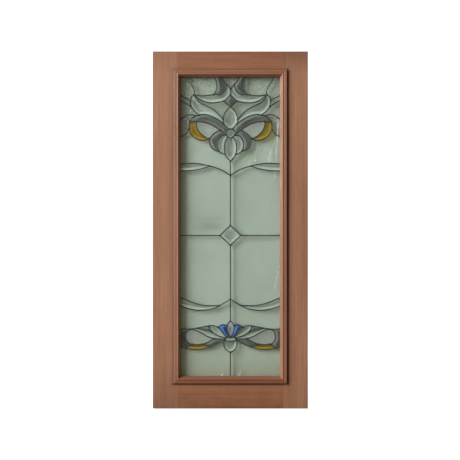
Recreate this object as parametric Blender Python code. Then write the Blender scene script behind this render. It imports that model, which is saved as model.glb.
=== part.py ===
# Leadlight entrance door: a timber leaf of two stiles and two rails round one tall glazed opening. The
# opening has a tongue at mid thickness. A leadlight panel lies against its front, held by a bolection
# moulding, and a pale satin pane lies against its back, held by a plainer bead.
#
# Frame: metres, Z up. The origin is on the hinge edge, at mid height and mid thickness. X runs across the
# leaf to the lock edge, and the front faces -Y. Sizes below are millimetres. The leadlight's lines are given
# as (distance from the centre line, height above mid height), for one half: the other half is its mirror.

import math

import bmesh
import bpy
from mathutils import Matrix, Vector
from mathutils.geometry import delaunay_2d_cdt

MM = 0.001
GAP = 0.3  # left between pieces that touch

# Leaf
LEAF_WIDTH, LEAF_HEIGHT, LEAF_THICKNESS = 860.0, 1980.0, 40.0
STILE_WIDTH, TOP_RAIL_HEIGHT, BOTTOM_RAIL_HEIGHT = 138.0, 125.0, 162.5
EASED_EDGE = 1.5
REBATE_WIDTH = 11.0

# Depths, front to back
FACE = LEAF_THICKNESS / 2
PANE_THICKNESS, CAME_DEPTH, GLASS_THICKNESS = 4.0, 6.5, 4.0
TONGUE_FRONT, TONGUE_BACK = -4.9, 12.7
CAME_BACK = TONGUE_FRONT - GAP
CAME_FRONT = CAME_BACK - CAME_DEPTH
CAME_MIDDLE = (CAME_FRONT + CAME_BACK) / 2
PANE_FRONT = TONGUE_BACK + GAP

# Mouldings
MOULDING_WIDTH, MOULDING_PROUD, BEAD_PROUD = 39.0, 13.0, 10.0
OVERHANG = 16.5  # from the stiles' and rails' inner edges in to the mouldings' inner edges
MOULDING_LIP = 5.5  # depth of the splayed inner face's foot below the leaf's face
CROWN_OUT, CROWN_RADII = 15.5, (5.0, 3.5)  # its middle from the inner edge, half its width, and its height
QUIRK = (22.0, 9.8)  # the groove between the crown and the outer bead: out, height
OUTER_BEAD_OUT, OUTER_BEAD_HEIGHT, OUTER_BEAD_ROUNDING = 23.5, 11.5, 4.0
SPLAY_WIDTH = 12.0  # of the back bead's inner face
BACK_STEP, BACK_ROUNDING = 2.0, 4.0  # the back bead's upright inner edge, and its outer edge's radius
SHARP_DEGREES = 35.0  # edges that turn more than this are shaded sharp

# Leadlight
CAME_WIDTH, BORDER_CAME_WIDTH = 6.0, 10.0
BOW = 0.6  # how far a lead's curve may bow from the straight between two of its points
TAB_WIDTH, TAB_BITE = 8.0, 1.5  # a link between glass pieces that share a node, and its hold in each
JEWEL_CENTRE, JEWEL_RADIUS = (0.0, 538.0), 25.0
BAR_HEIGHT = -30.0  # the straight bar at mid height
STAR_REACH, STAR_TOP, STAR_FOOT = 58.0, 26.0, -85.0

CENTRE_X = LEAF_WIDTH / 2
OPENING_LEFT, OPENING_RIGHT = STILE_WIDTH, LEAF_WIDTH - STILE_WIDTH
OPENING_TOP = LEAF_HEIGHT / 2 - TOP_RAIL_HEIGHT
OPENING_BOTTOM = BOTTOM_RAIL_HEIGHT - LEAF_HEIGHT / 2
PANEL_HALF_WIDTH = OPENING_RIGHT - CENTRE_X + REBATE_WIDTH - GAP
PANEL_TOP = OPENING_TOP + REBATE_WIDTH - GAP
PANEL_BOTTOM = OPENING_BOTTOM - REBATE_WIDTH + GAP
SIDE = PANEL_HALF_WIDTH - BORDER_CAME_WIDTH / 2  # middle of the border came, where leads end
TOP = PANEL_TOP - BORDER_CAME_WIDTH / 2
BOTTOM = PANEL_BOTTOM + BORDER_CAME_WIDTH / 2

WOOD_HINGE, WOOD_LOCK = (0.42, 0.245, 0.15), (0.36, 0.2, 0.12)
WOOD_RAIL, WOOD_MOULDING = (0.33, 0.17, 0.09), (0.36, 0.19, 0.11)
LEAD_COLOUR, SATIN_COLOUR = (0.07, 0.09, 0.08), (0.5, 0.56, 0.48)
WOOD_ROUGHNESS, LEAD_ROUGHNESS, LEAD_METALLIC, SATIN_ROUGHNESS, GLASS_ROUGHNESS = 0.55, 0.45, 0.6, 0.45, 0.05
CLEAR_ALPHA, COLOURED_ALPHA = 0.35, 0.85
CLEAR, BEVELLED, GREY = (0.72, 0.8, 0.72), (0.8, 0.86, 0.82), (0.14, 0.15, 0.15)
AMBER, BLUE, LAVENDER = (0.5, 0.23, 0.03), (0.07, 0.14, 0.42), (0.42, 0.43, 0.52)

# Points where several leads meet
SPRING = (204, 753)  # of the top arcs
LENS_TIP = (20, 807)
CRESCENT_FOOT = (92, 753)
ARC_TOP, ARC_FOOT = (0, 784), (0, 752)  # where the two long arcs run together
DIAMOND_SIDE, DIAMOND_FOOT = (38, 717), (0, 685)
WING_FOOT = (41, 616)
BAND_TIP = (227, 603)
AMBER_TIP = (115, 509)
PETAL_TIP = (65, 439)
FLOWER_FOOT = (0, 381)
UPPER_V, UPPER_LEAF_TIP = (0, 303), (115, 356)
LOWER_V, LOWER_LEAF_TIP = (0, -385), (59, -420)
BUD_TOP, BUD_FOOT = (0, -506), (0, -594)
BLUE_TIP, BLUE_FOOT = (69, -541), (22, -594)
SPRAY_TIP, DROP_TIP = (185, -546), (224, -551)
TENDRIL_FOOT = (34, -613)
DROP_INNER = (90, -603)
DROP_FOOT = (0, -680)

# Leads that are mirrored, each a smooth line through its points
LEADS = {
    "top_curl": [(245, TOP), (233, 831), (212, 799), (200, 771), SPRING],
    "lens_upper": [SPRING, (165, 746), (125, 748), CRESCENT_FOOT, (60, 752), (38, 766), (25, 786), LENS_TIP],
    "arc_upper": [(68, TOP), (36, 828), LENS_TIP, ARC_TOP],
    "arc_lower": [ARC_FOOT, (14, 737), DIAMOND_SIDE, (86, 708), (120, 708), (160, 720), SPRING],
    "crescent": [(98, TOP), (83, 837), (77, 805), (78, 780), CRESCENT_FOOT],
    "diamond_lower": [DIAMOND_SIDE, (20, 702), DIAMOND_FOOT],
    "wing_upper": [SPRING, (190, 729), (166, 705), (131, 689), (86, 662), WING_FOOT],
    "wing_outer": [SPRING, (219, 736), (224, 709), (214, 679), (194, 655), (173, 639)],
    "side_upper": [(SIDE, 757), (252, 736), (223, 716)],
    "side_lower": [(SIDE, 733), (252, 706), (221, 687)],
    "side_eye_top": [(SIDE, 594), (262, 626), (228, 642), (194, 636)],
    "side_eye_foot": [(231, 559), (243, 540), (262, 525), (SIDE, 513)],
    "band_upper": [BAND_TIP, (206, 626), (173, 639), (137, 642), (97, 629), (58, 607), (29, 582), (12, 561)],
    "band_lower": [BAND_TIP, (190, 603), (147, 599), (104, 584), (66, 561), (24, 528)],
    "amber_outer": [BAND_TIP, (230, 576), (223, 541), (199, 513), (163, 499), (137, 501), AMBER_TIP],
    "amber_inner": [(190, 603), (190, 581), (180, 555), (157, 527), (122, 507)],
    "petal_outer": [(57, 555), (86, 540), (105, 523), AMBER_TIP, (116, 488), (106, 461), (88, 444),
                    PETAL_TIP],
    "petal_inner": [(24, 528), (47, 524), (62, 509), (71, 490), (73, 468), PETAL_TIP],
    "petal_lower": [PETAL_TIP, (48, 427), (30, 420)],
    "centre_petal": [(15, 518), (28, 496), (33, 472), (33, 444), (27, 414), FLOWER_FOOT],
    "bud_side": [DIAMOND_FOOT, (20, 667), (36, 640), WING_FOOT, (38, 590)],
    "upper_v": [(SIDE, 364), (245, 370), (190, 370), UPPER_LEAF_TIP, (50, 334), UPPER_V],
    "upper_leaf": [(SIDE, 329), (240, 329), (185, 335), (145, 345), UPPER_LEAF_TIP],
    "star_upper": [(0, STAR_TOP), (STAR_REACH, BAR_HEIGHT)],
    "star_lower": [(STAR_REACH, BAR_HEIGHT), (0, STAR_FOOT)],
    "bar": [(STAR_REACH, BAR_HEIGHT), (SIDE, BAR_HEIGHT)],
    "lower_leaf": [(SIDE, -367), (240, -392), (185, -411), (130, -420), LOWER_LEAF_TIP],
    "lower_v": [(SIDE, -413), (243, -434), (190, -445), (140, -445), (95, -436), LOWER_LEAF_TIP, LOWER_V],
    "lower_bud": [BUD_TOP, (14, -520), (21, -543), (14, -574), BUD_FOOT],
    "blue_upper": [(20, -531), (38, -526), (55, -530), BLUE_TIP],
    "blue_lower": [BLUE_TIP, (57, -552), (43, -570), BLUE_FOOT],
    "spray_upper": [BLUE_TIP, (98, -531), (140, -536), SPRAY_TIP],
    "spray_bar": [SPRAY_TIP, DROP_TIP],
    "side_bar": [DROP_TIP, (SIDE, -551)],
    "spray_divider": [(118, -533), (114, -550), (103, -567)],
    "spray_lower": [SPRAY_TIP, (150, -553), (103, -567), (68, -588), (28, -599)],
    "tendril": [DROP_TIP, (190, -558), (158, -574), (128, -591), DROP_INNER, (32, -606)],
    "drop_edge": [DROP_TIP, (241, -563), (250, -588), (243, -617), (221, -634), (185, -637), (150, -633),
                  (118, -620), DROP_INNER],
    "cup": [(SIDE, -645), (240, -658), (190, -664), (140, -658), (90, -641), TENDRIL_FOOT],
    "amber_end_outer": [(213, -635), (233, -642), (250, -656)],
    "amber_end_inner": [(157, -634), (136, -641), (109, -648)],
    "knot_side": [BLUE_FOOT, TENDRIL_FOOT],
    "knot_top": [BUD_FOOT, BLUE_FOOT],
    "knot_lower": [TENDRIL_FOOT, (15, -616), (0, -618)],
    "pendant": [TENDRIL_FOOT, (37, -629), (34, -647), (22, -667), DROP_FOOT],
}
# Leads on the centre line
CENTRE_LEADS = {
    "arc_stem": [ARC_TOP, ARC_FOOT],
    "upper_stem": [FLOWER_FOOT, (0, STAR_TOP)],
    "lower_stem": [(0, STAR_FOOT), BUD_TOP],
    "foot_stem": [DROP_FOOT, (0, BOTTOM)],
}
# Links between glass pieces that share a node, each across the lead named, near the point given
LINKS = {
    "infill": [("top_curl", (216, 805)), ("side_upper", (258, 739)), ("side_lower", (258, 709)),
               ("side_eye_top", (262, 626))],
    "grey_flower": [("band_lower", (44, 545))],
    "upper_field": [("upper_v", (205, 370))],
    "lower_field": [("lower_v", (205, -445))],
    "spray": [("spray_lower", (76, -583)), ("tendril", (156, -575))],
    "centre_flower": [("centre_petal", (33, 460))],
}
CENTRE_LINKS = {"pendant": [((0, -618), (1, 0))]}

# Glass: node name, a point in it, its colour. The first list is mirrored, left_ or right_ before each name.
SIDE_GLASS = [
    ("glass_infill", (150, 800), CLEAR),
    ("glass_crescent_grey", (52, 790), GREY),
    ("glass_lens_bevelled", (110, 732), BEVELLED),
    ("glass_heart_clear", (85, 688), CLEAR),
    ("glass_wing_bevelled", (150, 670), BEVELLED),
    ("glass_band_and_petal_grey", (130, 620), GREY),
    ("glass_hook_amber", (210, 560), AMBER),
    ("glass_eye_clear", (130, 560), CLEAR),
    ("glass_upper_field", (200, 450), CLEAR),
    ("glass_upper_large", (150, 200), CLEAR),
    ("glass_lower_large", (150, -250), CLEAR),
    ("glass_lower_field", (150, -490), CLEAR),
    ("glass_petal_blue", (45, -547), BLUE),
    ("glass_spray_clear", (88, -556), LAVENDER),
    ("glass_triangle_grey", (135, -544), GREY),
    ("glass_hollow_grey", (272, -610), GREY),
    ("glass_inner_grey", (110, -630), GREY),
    ("glass_lens_amber", (190, -650), AMBER),
    ("glass_base_clear", (150, -750), CLEAR),
]
CENTRE_GLASS = [
    ("glass_top_clear", (0, 825), CLEAR),
    ("glass_diamond_grey", (0, 722), GREY),
    ("glass_upper_bud_bevelled", (0, 630), BEVELLED),
    ("glass_jewel", (0, 540), BEVELLED),
    ("glass_centre_petals", (0, 460), BEVELLED),
    ("glass_star_bevelled", (0, -30), BEVELLED),
    ("glass_lower_bud", (0, -548), LAVENDER),
    ("glass_pendant", (0, -655), LAVENDER),
]


def clear_scene():
    for obj in list(bpy.data.objects):
        bpy.data.objects.remove(obj)


def principled(name, colour, roughness, metallic=0.0, alpha=1.0):
    material = bpy.data.materials.new(name)
    material.use_nodes = True
    shader = material.node_tree.nodes["Principled BSDF"]
    shader.inputs["Base Color"].default_value = (*colour, 1.0)
    shader.inputs["Roughness"].default_value = roughness
    shader.inputs["Metallic"].default_value = metallic
    shader.inputs["Alpha"].default_value = alpha
    material.diffuse_color = (*colour, alpha)
    return material


def add_object(name, bm, material=None):
    """Makes a mesh, worked out in millimetres, into an object in metres."""
    bmesh.ops.transform(bm, matrix=Matrix.Scale(MM, 4), verts=bm.verts)
    bmesh.ops.recalc_face_normals(bm, faces=bm.faces)
    mesh = bpy.data.meshes.new(name)
    bm.to_mesh(mesh)
    bm.free()
    mesh.shade_smooth()
    mesh.set_sharp_from_angle(angle=math.radians(SHARP_DEGREES))
    if material:
        mesh.materials.append(material)
    obj = bpy.data.objects.new(name, mesh)
    bpy.context.scene.collection.objects.link(obj)
    return obj


def add_box(bm, low, high):
    low, high = Vector(low), Vector(high)
    size = Matrix.Diagonal((*(high - low), 1))
    bmesh.ops.create_cube(bm, size=1, matrix=Matrix.Translation((low + high) / 2) @ size)


def box(name, low, high, material=None):
    bm = bmesh.new()
    add_box(bm, low, high)
    return add_object(name, bm, material)


def cut(obj, cutter):
    modifier = obj.modifiers.new("cut " + cutter.name, "BOOLEAN")
    modifier.operation = "DIFFERENCE"
    modifier.solver = "EXACT"
    modifier.object = cutter


def as_cutter(obj):
    obj.hide_render = True
    obj.display_type = "WIRE"
    return obj


# Leaf


def rebate_cutter(name, front, back):
    """The space for the glazing on one side of the tongue, open at that face."""
    low = (OPENING_LEFT - REBATE_WIDTH, front, OPENING_BOTTOM - REBATE_WIDTH)
    high = (OPENING_RIGHT + REBATE_WIDTH, back, OPENING_TOP + REBATE_WIDTH)
    return as_cutter(box(name, low, high))


def on_outer_edge(place):
    """Whether the point is on one of the leaf's four outer edges."""
    return min(place.x, LEAF_WIDTH - place.x, LEAF_HEIGHT / 2 - abs(place.z)) < GAP / 2


def eased_box(name, low, high, material):
    """A stile or rail, eased only where its front and back meet the leaf's outer edges."""
    bm = bmesh.new()
    add_box(bm, low, high)
    kept = [f for f in bm.faces if abs(f.normal.y) > 0.5 or on_outer_edge(f.calc_center_median())]
    arrises = [e for e in bm.edges if all(face in kept for face in e.link_faces)]
    bmesh.ops.bevel(
        bm, geom=arrises, offset=EASED_EDGE, offset_type="OFFSET", segments=1, profile=0.5,
        affect="EDGES", material=-1,
    )
    return add_object(name, bm, material)


def make_leaf():
    margin = 5.0  # how far a cutter runs out of the face
    cutters = [
        rebate_cutter("front_rebate", -FACE - margin, TONGUE_FRONT),
        rebate_cutter("back_rebate", TONGUE_BACK, FACE + margin),
    ]
    half = LEAF_HEIGHT / 2
    rail_left, rail_right = OPENING_LEFT + GAP, OPENING_RIGHT - GAP
    pieces = [
        ("hinge_stile", (0, -half), (STILE_WIDTH, half), WOOD_HINGE),
        ("lock_stile", (OPENING_RIGHT, -half), (LEAF_WIDTH, half), WOOD_LOCK),
        ("top_rail", (rail_left, OPENING_TOP), (rail_right, half), WOOD_RAIL),
        ("bottom_rail", (rail_left, -half), (rail_right, OPENING_BOTTOM), WOOD_RAIL),
    ]
    for name, (x_low, z_low), (x_high, z_high), colour in pieces:
        material = principled(name, colour, WOOD_ROUGHNESS)
        piece = eased_box(name, (x_low, -FACE, z_low), (x_high, FACE, z_high), material)
        for cutter in cutters:
            cut(piece, cutter)


# Mouldings


def arc_points(centre, radii, start, end, steps):
    """Points along an elliptical arc, from one angle in degrees to another."""
    angles = [math.radians(start + (end - start) * i / steps) for i in range(steps + 1)]
    return [(centre[0] + radii[0] * math.cos(a), centre[1] + radii[1] * math.sin(a)) for a in angles]


def leg_points(leg):
    """The moulding's back: flat on the leaf's face, with a leg down the rebate to the pane."""
    side = OVERHANG + REBATE_WIDTH - GAP
    return [(MOULDING_WIDTH, GAP), (side, GAP), (side, -leg), (0, -leg)]


def bolection_profile(leg):
    """Points (out from the inner edge, out from the leaf's face): splay, crown, quirk and outer bead."""
    crown = arc_points((CROWN_OUT, MOULDING_PROUD - CROWN_RADII[1]), CROWN_RADII, 180, 0, 6)
    radius = OUTER_BEAD_ROUNDING
    bead_edge = arc_points((MOULDING_WIDTH - radius, OUTER_BEAD_HEIGHT - radius), (radius, radius), 90, 0, 4)
    outer_bead = [(OUTER_BEAD_OUT, OUTER_BEAD_HEIGHT)] + bead_edge
    return [(0, -MOULDING_LIP)] + crown + [QUIRK] + outer_bead + leg_points(leg)


def back_profile(leg):
    """The plainer bead at the back: a splay and a rounded outer edge."""
    splay = [(0, BACK_STEP - leg), (SPLAY_WIDTH, BEAD_PROUD)]
    middle = (MOULDING_WIDTH - BACK_ROUNDING, BEAD_PROUD - BACK_ROUNDING)
    outer = arc_points(middle, (BACK_ROUNDING, BACK_ROUNDING), 90, 0, 2)
    return splay + outer + leg_points(leg)


def mitred_length(name, profile, start, end, outward, facing, material):
    """One moulding between two inner corners, its ends mitred on the half gap."""
    start, end, outward = Vector(start), Vector(end), Vector(outward)
    along = (end - start).normalized()
    proud = Vector((0, facing, 0))
    back_off = GAP * math.sqrt(0.5)
    bm = bmesh.new()
    verts = []
    for out, height in profile:
        place = start + outward * out + proud * (FACE + height) - along * (out - back_off)
        verts.append(bm.verts.new(place))
    face = bm.faces.new(verts)
    made = bmesh.ops.extrude_face_region(bm, geom=[face])["geom"]
    for vert in (v for v in made if isinstance(v, bmesh.types.BMVert)):
        out = (vert.co - start).dot(outward)
        vert.co += (end - start) + along * 2 * (out - back_off)
    add_object(name, bm, material)


def make_mouldings():
    left, right = OPENING_LEFT + OVERHANG, OPENING_RIGHT - OVERHANG
    top, bottom = OPENING_TOP - OVERHANG, OPENING_BOTTOM + OVERHANG
    top_left, top_right = (left, 0, top), (right, 0, top)
    bottom_left, bottom_right = (left, 0, bottom), (right, 0, bottom)
    sides = [
        ("hinge_side", bottom_left, top_left, (-1, 0, 0)),
        ("top", top_left, top_right, (0, 0, 1)),
        ("lock_side", top_right, bottom_right, (1, 0, 0)),
        ("bottom", bottom_right, bottom_left, (0, 0, -1)),
    ]
    front_leg = FACE + CAME_FRONT - GAP
    back_leg = FACE - (PANE_FRONT + PANE_THICKNESS) - GAP
    rings = [("front_moulding", bolection_profile(front_leg), -1), ("back_bead", back_profile(back_leg), 1)]
    for prefix, profile, facing in rings:
        material = principled(prefix, WOOD_MOULDING, WOOD_ROUGHNESS)
        for side, start, end, outward in sides:
            name = f"{prefix}_{side}"
            mitred_length(name, profile, start, end, outward, facing, material)


# Back pane


def make_pane():
    low = (CENTRE_X - PANEL_HALF_WIDTH, PANE_FRONT, PANEL_BOTTOM)
    high = (CENTRE_X + PANEL_HALF_WIDTH, PANE_FRONT + PANE_THICKNESS, PANEL_TOP)
    box("back_pane", low, high, principled("satin glass", SATIN_COLOUR, SATIN_ROUGHNESS))


# Leadlight cartoon: flat shapes on the plane (from the centre line, height)


def bow(points):
    """How far the points bow out from the straight between the first and the last."""
    span = points[-1] - points[0]
    return max((abs(span.cross(p - points[0])) / span.length for p in points[1:-1]), default=0.0)


def smooth_line(points, fine=16):
    """A Catmull-Rom curve through the points, thinned to as few points as BOW allows."""
    points = [Vector(p) for p in points]
    if len(points) == 2:
        return points
    first, last = 2 * points[0] - points[1], 2 * points[-1] - points[-2]
    ends = [first] + points + [last]
    dense = []
    for before, start, end, after in zip(ends, ends[1:], ends[2:], ends[3:]):
        for i in range(fine):
            t = i / fine
            dense.append(0.5 * (
                2 * start + (end - before) * t
                + (2 * before - 5 * start + 4 * end - after) * t**2
                + (3 * start - before - 3 * end + after) * t**3
            ))
    dense.append(points[-1])
    kept = [0]
    for n in range(2, len(dense)):
        if bow(dense[kept[-1]:n + 1]) > BOW:
            kept.append(n - 1)
    return [dense[n] for n in kept] + [dense[-1]]


def mirrored(points):
    return [(-u, v) for u, v in points]


def lead_lines():
    """Every lead's middle line, as lists of points."""
    lines = []
    for points in LEADS.values():
        lines += [smooth_line(points), smooth_line(mirrored(points))]
    lines += [smooth_line(points) for points in CENTRE_LEADS.values()]
    steps = math.ceil(math.pi / math.acos(1 - BOW / JEWEL_RADIUS))
    ring = [Vector(p) for p in arc_points(JEWEL_CENTRE, (JEWEL_RADIUS, JEWEL_RADIUS), 90, 450, steps)]
    return lines + [ring[:-1] + ring[:1]]


def offset_pair(line, half_width):
    """The two edges of a strip along the line."""
    closed = line[0] == line[-1]
    left, right = [], []
    for i, here in enumerate(line):
        before = line[i - 1] if i else (line[-2] if closed else None)
        after = line[i + 1] if i + 1 < len(line) else (line[1] if closed else None)
        ways = [(b - a).normalized() for a, b in ((before, here), (here, after)) if a and b]
        way = sum(ways, Vector((0, 0))).normalized()
        reach = half_width / way.dot(ways[0])
        side = Vector((-way.y, way.x)) * reach
        left.append(here + side)
        right.append(here - side)
    return left, right


def strip_quads(line, half_width):
    left, right = offset_pair(line, half_width)
    pairs = list(zip(left, right))
    return [[a, b, d, c] for (a, b), (c, d) in zip(pairs, pairs[1:])]


def link_frame(lead, near):
    """Where a link crosses its lead, and the lead's way there."""
    line = smooth_line(lead)
    spots = []
    for a, b in zip(line, line[1:]):
        t = min(1.0, max(0.0, (Vector(near) - a).dot(b - a) / (b - a).length_squared))
        spot = a.lerp(b, t)
        spots.append(((spot - Vector(near)).length, spot, (b - a).normalized()))
    _, spot, way = min(spots, key=lambda found: found[0])
    return spot, way


def all_links():
    """(spot, way along the lead) of every link."""
    found = []
    for links in LINKS.values():
        for lead, near in links:
            spot, way = link_frame(LEADS[lead], near)
            found += [(spot, way), (Vector((-spot.x, spot.y)), Vector((-way.x, way.y)))]
    for links in CENTRE_LINKS.values():
        found += [(Vector(spot), Vector(way)) for spot, way in links]
    return found


def link_rectangle(spot, way, half_along, half_across):
    across = Vector((-way.y, way.x))
    signs = [(-1, -1), (1, -1), (1, 1), (-1, 1)]
    return [spot + way * a * half_along + across * b * half_across for a, b in signs]


def rectangle(left, bottom, right, top):
    return [Vector(p) for p in ((left, bottom), (right, bottom), (right, top), (left, top))]


def triangulate(shapes):
    """Triangles of all the shapes together, each with the set of shapes that hold it."""
    points, faces = [], []
    for shape in shapes:
        faces.append(list(range(len(points), len(points) + len(shape))))
        points += shape
    found = delaunay_2d_cdt(points, [], faces, 0, 1e-4)
    return found[0], list(zip(found[2], (set(owners) for owners in found[5])))


def outlines(points, triangles):
    """The outline of each connected patch of triangles, as one loop of points."""
    owner = {}
    for n, triangle in enumerate(triangles):
        for a, b in zip(triangle, triangle[1:] + triangle[:1]):
            owner[a, b] = n
    patch = list(range(len(triangles)))

    def root(n):
        while patch[n] != n:
            n = patch[n]
        return n

    for (a, b), n in owner.items():
        if (b, a) in owner:
            patch[root(n)] = root(owner[b, a])
    after = {}
    for (a, b), n in owner.items():
        if (b, a) not in owner:
            after.setdefault(root(n), {})[a] = b
    loops = []
    for steps in after.values():
        start = here = next(iter(steps))
        loop = []
        while True:
            loop.append(points[here])
            here = steps[here]
            if here == start:
                break
        loops.append(without_needless(loop))
    return loops


def without_needless(loop, straight=0.02, short=0.35):
    """The loop without points that lie on a straight stretch or almost on their neighbour."""
    kept = []
    for i, here in enumerate(loop):
        before, after = kept[-1] if kept else loop[-1], loop[(i + 1) % len(loop)]
        span = after - before
        if (here - before).length < short:
            continue
        if span.length > short and abs(span.cross(here - before)) / span.length < straight:
            continue
        kept.append(here)
    return kept


def glass_outlines(half_came, links):
    """The spaces between the leads, joined where a link crosses a lead."""
    inset = BORDER_CAME_WIDTH + half_came - CAME_WIDTH / 2
    field = rectangle(
        inset - PANEL_HALF_WIDTH, PANEL_BOTTOM + inset, PANEL_HALF_WIDTH - inset, PANEL_TOP - inset
    )
    quads = [quad for line in lead_lines() for quad in strip_quads(line, half_came)]
    points, tagged = triangulate([field] + quads + links)
    first_link = 1 + len(quads)
    glass = [
        triangle for triangle, owners in tagged
        if owners == {0} or any(n >= first_link for n in owners)
    ]
    return outlines(points, glass)


def holds(loop, spot):
    """Whether the point is inside the loop."""
    inside = False
    for a, b in zip(loop, loop[1:] + loop[:1]):
        if (a.y > spot[1]) != (b.y > spot[1]):
            inside ^= spot[0] < a.x + (b.x - a.x) * (spot[1] - a.y) / (b.y - a.y)
    return inside


def on_panel(point, depth):
    return Vector((CENTRE_X + point.x, depth, point.y))


def extrude_flat(bm, thickness):
    made = bmesh.ops.extrude_face_region(bm, geom=bm.faces[:])["geom"]
    moved = [v for v in made if isinstance(v, bmesh.types.BMVert)]
    bmesh.ops.translate(bm, vec=(0, thickness, 0), verts=moved)


def make_cames():
    """The whole net of lead, soldered into one piece."""
    border = rectangle(-PANEL_HALF_WIDTH, PANEL_BOTTOM, PANEL_HALF_WIDTH, PANEL_TOP)
    points, tagged = triangulate([border] + glass_outlines(CAME_WIDTH / 2, []))
    bm = bmesh.new()
    verts = [bm.verts.new(on_panel(p, CAME_FRONT)) for p in points]
    for triangle, owners in tagged:
        if owners == {0}:
            bm.faces.new([verts[n] for n in triangle])
    bmesh.ops.delete(bm, geom=[v for v in verts if not v.link_faces], context="VERTS")
    extrude_flat(bm, CAME_DEPTH)
    lead = principled("lead", LEAD_COLOUR, LEAD_ROUGHNESS, LEAD_METALLIC)
    cames = add_object("lead_cames", bm, lead)
    slots = bmesh.new()
    deep = GLASS_THICKNESS / 2 + GAP
    for spot, way in all_links():
        size = Matrix.Diagonal((TAB_WIDTH + 2 * GAP, 2 * deep, CAME_WIDTH + 2 * TAB_BITE, 1))
        turn = Matrix.Rotation(-math.atan2(way.y, way.x), 4, "Y")
        place = Matrix.Translation(on_panel(spot, CAME_MIDDLE))
        bmesh.ops.create_cube(slots, size=1, matrix=place @ turn @ size)
    cut(cames, as_cutter(add_object("link_slots", slots)))


def make_glass():
    """Every piece of coloured and clear glass, between the cames."""
    half_came = CAME_WIDTH / 2 + GAP
    links = [
        link_rectangle(spot, way, TAB_WIDTH / 2, half_came + TAB_BITE) for spot, way in all_links()
    ]
    loops = glass_outlines(half_came, links)
    wanted = list(CENTRE_GLASS)
    for name, (u, v), colour in SIDE_GLASS:
        wanted += [("left_" + name, (-u, v), colour), ("right_" + name, (u, v), colour)]
    for name, spot, colour in wanted:
        loop = next(loop for loop in loops if holds(loop, spot))
        bm = bmesh.new()
        bm.faces.new([bm.verts.new(on_panel(p, CAME_MIDDLE - GLASS_THICKNESS / 2)) for p in loop])
        extrude_flat(bm, GLASS_THICKNESS)
        bmesh.ops.triangulate(bm, faces=bm.faces[:])
        alpha = CLEAR_ALPHA if colour in (CLEAR, BEVELLED) else COLOURED_ALPHA
        add_object(name, bm, principled(name, colour, GLASS_ROUGHNESS, alpha=alpha))


clear_scene()
make_leaf()
make_mouldings()
make_pane()
make_cames()
make_glass()
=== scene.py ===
import math

import bmesh
import bpy
from mathutils import Matrix, Vector
from mathutils.geometry import delaunay_2d_cdt


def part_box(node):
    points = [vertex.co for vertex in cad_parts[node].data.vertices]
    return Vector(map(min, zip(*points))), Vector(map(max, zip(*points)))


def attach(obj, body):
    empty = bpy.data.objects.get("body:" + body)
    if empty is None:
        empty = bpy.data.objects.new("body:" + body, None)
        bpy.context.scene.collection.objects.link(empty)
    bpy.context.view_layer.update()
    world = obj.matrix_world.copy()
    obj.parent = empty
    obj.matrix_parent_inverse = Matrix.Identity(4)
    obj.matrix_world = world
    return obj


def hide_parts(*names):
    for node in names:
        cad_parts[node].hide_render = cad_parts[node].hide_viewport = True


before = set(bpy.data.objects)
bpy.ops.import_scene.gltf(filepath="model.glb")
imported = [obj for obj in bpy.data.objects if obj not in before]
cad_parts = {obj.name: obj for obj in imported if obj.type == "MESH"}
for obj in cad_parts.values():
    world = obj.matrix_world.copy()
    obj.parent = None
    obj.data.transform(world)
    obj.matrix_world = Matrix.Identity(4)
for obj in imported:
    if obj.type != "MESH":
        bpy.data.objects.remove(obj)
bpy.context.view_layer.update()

mm = 0.001


# Shader maths: a Value is one socket, and Python's operators add Math nodes to its material
class Value:
    def __init__(self, finish, socket):
        self.finish, self.socket = finish, socket

    def maths(self, operation, *values):
        return self.finish.node("Math", {"operation": operation}, dict(enumerate(values)))

    def __add__(self, other):
        return self.maths("ADD", self, other)

    def __sub__(self, other):
        return self.maths("SUBTRACT", self, other)

    def __rsub__(self, other):
        return self.maths("SUBTRACT", other, self)

    def __mul__(self, other):
        return self.maths("MULTIPLY", self, other)

    def __pow__(self, other):
        return self.maths("POWER", self, other)

    __radd__, __rmul__ = __add__, __mul__

    def size(self):
        return self.maths("ABSOLUTE", self)

    def most(self, other):
        return self.maths("MAXIMUM", self, other)

    def least(self, other):
        return self.maths("MINIMUM", self, other)

    def between(self, low, high):  # 0 at low and 1 at high, held at both ends
        inputs = {"Value": self, "From Min": low, "From Max": high}
        return self.finish.node("MapRange", {"clamp": True}, inputs)


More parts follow.
